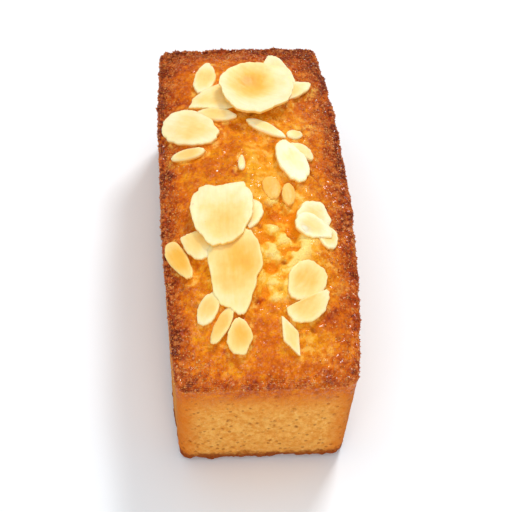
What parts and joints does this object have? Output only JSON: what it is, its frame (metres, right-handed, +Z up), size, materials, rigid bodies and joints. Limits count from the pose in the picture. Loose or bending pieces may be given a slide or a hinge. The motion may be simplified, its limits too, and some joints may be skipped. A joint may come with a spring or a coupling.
{
  "type": "financier cake",
  "caption": "Small bar-shaped almond cake with sloping walls, a domed golden-brown top and toasted almond slices baked onto it.",
  "frame": {"origin": "on the table, under the middle of the cake", "axes": "+X across the bar, +Y along the bar, +Z up"},
  "size_m": [0.0362, 0.0834, 0.035],
  "materials": {
    "crust": "golden-brown baked crust, darker and grainy at the rim, golden and slightly glossy on the dome",
    "almond": "toasted sliced almond, pale cream to golden"
  },
  "bodies": {
    "root": {"cake": "crust"}
  },
  "joints": []
}
